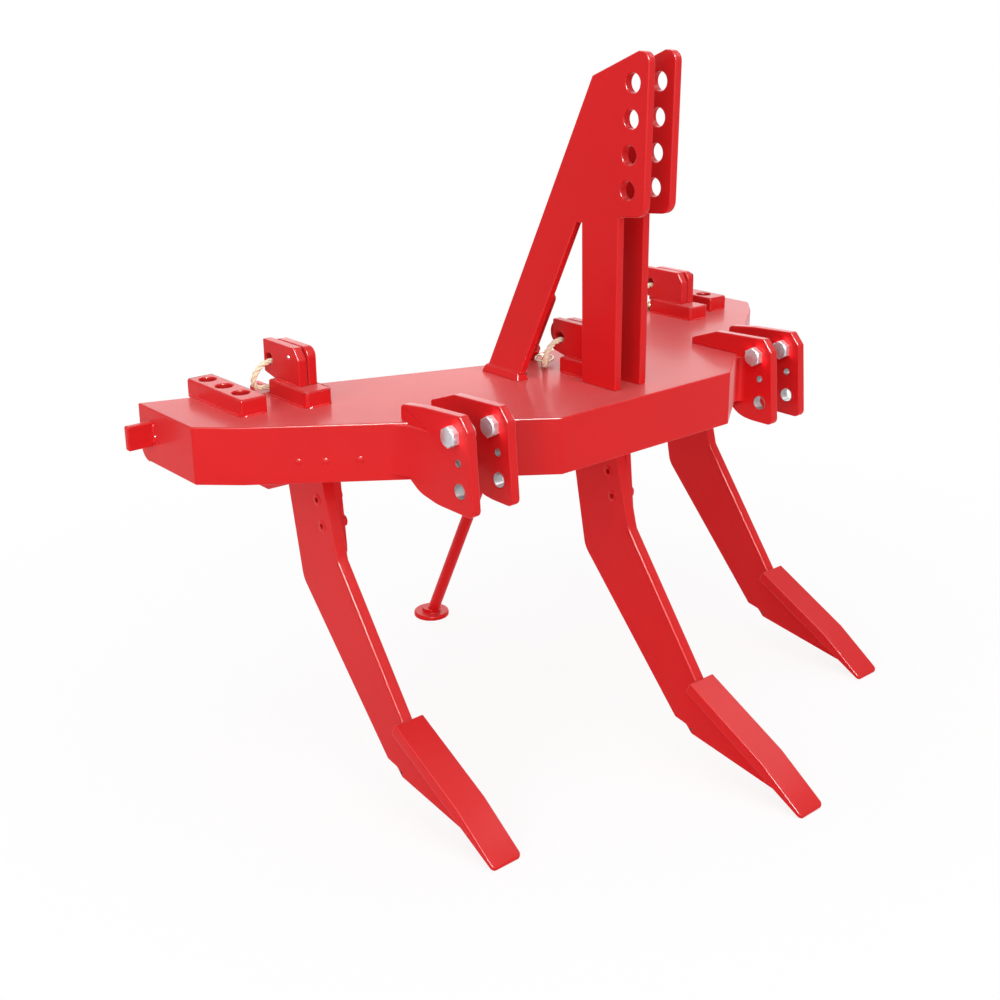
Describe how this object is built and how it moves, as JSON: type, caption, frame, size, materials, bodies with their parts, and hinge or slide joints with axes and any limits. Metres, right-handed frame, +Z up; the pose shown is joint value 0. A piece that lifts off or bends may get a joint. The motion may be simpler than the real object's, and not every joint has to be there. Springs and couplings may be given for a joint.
{
  "type": "chisel plow",
  "caption": "Chisel plow for a three-point hitch: swept box frame, cranked shanks with narrow points, a drilled mast and a parking stand that slides in a sleeve.",
  "frame": {"origin": "on the ground, midway along the plow's length and width", "axes": "-Y is the way it travels, +X runs across to its right as seen from the front, +Z is up"},
  "size_m": [1.666, 1.2139, 1.376],
  "materials": {
    "red_paint": "gloss",
    "zinc": "satin",
    "rope": "matte"
  },
  "bodies": {
    "plow": {"drilled_strip_left": "red_paint", "drilled_strip_right": "red_paint", "end_tab_left": "red_paint", "end_tab_right": "red_paint", "foot_left": "red_paint", "foot_middle": "red_paint", "foot_right": "red_paint", "frame_end_left": "red_paint", "frame_end_right": "red_paint", "frame_lid": "red_paint", "frame_tray": "red_paint", "head_base_left": "red_paint", "head_base_middle": "red_paint", "head_base_right": "red_paint", "head_cheek_left": "red_paint", "head_cheek_middle": "red_paint", "head_cheek_right": "red_paint", "head_lug_left": "red_paint", "head_lug_middle": "red_paint", "head_lug_right": "red_paint", "hitch_bolt_left_inner": "zinc", "hitch_bolt_left_outer": "zinc", "hitch_bolt_right_inner": "zinc", "hitch_bolt_right_outer": "zinc", "hitch_gusset_left_inner": "red_paint", "hitch_gusset_left_outer": "red_paint", "hitch_gusset_right_inner": "red_paint", "hitch_gusset_right_outer": "red_paint", "hitch_plate_left_inner": "red_paint", "hitch_plate_left_outer": "red_paint", "hitch_plate_right_inner": "red_paint", "hitch_plate_right_outer": "red_paint", "lanyard_pin_left": "zinc", "lanyard_pin_middle": "zinc", "lanyard_pin_right": "zinc", "lanyard_rope_left": "rope", "lanyard_rope_middle": "rope", "lanyard_rope_right": "rope", "mast_plate_left": "red_paint", "mast_plate_right": "red_paint", "shank_bolt_lower_left": "red_paint", "shank_bolt_lower_middle": "red_paint", "shank_bolt_lower_right": "red_paint", "shank_bolt_upper_left": "red_paint", "shank_bolt_upper_middle": "red_paint", "shank_bolt_upper_right": "red_paint", "shank_bracket_left": "red_paint", "shank_bracket_middle": "red_paint", "shank_bracket_right": "red_paint", "shank_left": "red_paint", "shank_middle": "red_paint", "shank_right": "red_paint", "share_left": "red_paint", "share_middle": "red_paint", "share_right": "red_paint", "stand_clamp_bolt": "zinc", "stand_sleeve": "red_paint"},
    "stand": {"stand_leg": "red_paint"}
  },
  "joints": [
    {"name": "stand_slide", "type": "slide", "parent": "plow", "child": "stand", "axis": [0, -0.4431, 0.8965], "range_m": [0, 0.45]}
  ]
}
